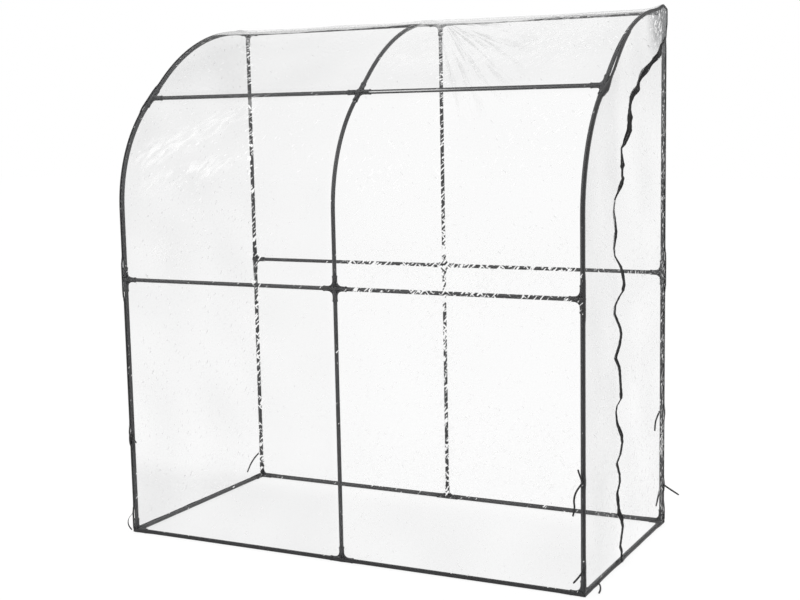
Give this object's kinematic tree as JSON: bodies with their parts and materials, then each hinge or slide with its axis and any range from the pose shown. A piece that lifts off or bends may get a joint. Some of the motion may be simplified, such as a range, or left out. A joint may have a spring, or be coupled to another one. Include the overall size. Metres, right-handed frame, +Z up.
{
  "type": "lean to greenhouse",
  "caption": "Lean to greenhouse: tubular frame in plastic sockets, curved roof and clear film cover, with a zipped door in the right end.",
  "frame": {"origin": "on the ground, under the middle of the frame", "axes": "+X to the right along the wall seen from the front, +Y towards the wall, +Z up"},
  "size_m": [2.1538, 1.0229, 2.1417],
  "materials": {
    "frame_tube": "dark grey powder coat, satin",
    "socket_plastic": "moulded, fine matt grain",
    "cover_film": "clear soft film, creased",
    "binding_tape": "woven tape",
    "zip_tape": "woven tape with moulded teeth",
    "zip_metal": "black enamel",
    "tie_tape": "narrow woven tape"
  },
  "bodies": {
    "frame_and_cover": {"base_corner_connectors": "socket_plastic", "base_middle_connectors": "socket_plastic", "cover_sheet": "cover_film", "end_panel_left": "cover_film", "end_panel_right": "cover_film", "front_base_rail_left": "frame_tube", "front_base_rail_right": "frame_tube", "front_mid_connectors": "socket_plastic", "front_mid_rail_left": "frame_tube", "front_mid_rail_right": "frame_tube", "front_post_centre": "frame_tube", "front_post_left": "frame_tube", "front_post_right": "frame_tube", "hem_binding": "binding_tape", "lower_arch_tubes": "frame_tube", "purlin_connectors": "socket_plastic", "purlin_left": "frame_tube", "purlin_right": "frame_tube", "rear_base_rail_left": "frame_tube", "rear_base_rail_right": "frame_tube", "rear_lower_post_centre": "frame_tube", "rear_lower_post_left": "frame_tube", "rear_lower_post_right": "frame_tube", "rear_mid_connectors": "socket_plastic", "rear_mid_rail_left": "frame_tube", "rear_mid_rail_right": "frame_tube", "rear_upper_post_centre": "frame_tube", "rear_upper_post_left": "frame_tube", "rear_upper_post_right": "frame_tube", "ridge_connectors": "socket_plastic", "ridge_rail_left": "frame_tube", "ridge_rail_right": "frame_tube", "seam_binding_left": "binding_tape", "seam_binding_right": "binding_tape", "side_base_rail_left": "frame_tube", "side_base_rail_right": "frame_tube", "ties_left": "tie_tape", "ties_right": "tie_tape", "upper_arch_tubes": "frame_tube", "zip_tape_panel": "zip_tape"},
    "door": {"door_leaf": "cover_film", "zip_tape_door": "zip_tape", "door_hem_binding": "binding_tape"},
    "slider": {"zip_slider": "zip_metal"},
    "pull": {"zip_pull_tab": "zip_metal"}
  },
  "joints": [
    {"name": "door_hinge", "type": "hinge", "parent": "frame_and_cover", "child": "door", "pos_m": [1.00195, 0.48, 1], "axis": [0, 0, 1], "range_deg": [0, 105]},
    {"name": "zip_slide", "type": "slide", "parent": "frame_and_cover", "child": "slider", "axis": [0, 0, 1], "range_m": [0, 1.467]},
    {"name": "pull_hinge", "type": "hinge", "parent": "slider", "child": "pull", "pos_m": [1.0081, -0.085, 0.033], "axis": [0, -1, 0], "range_deg": [0, 150]}
  ]
}
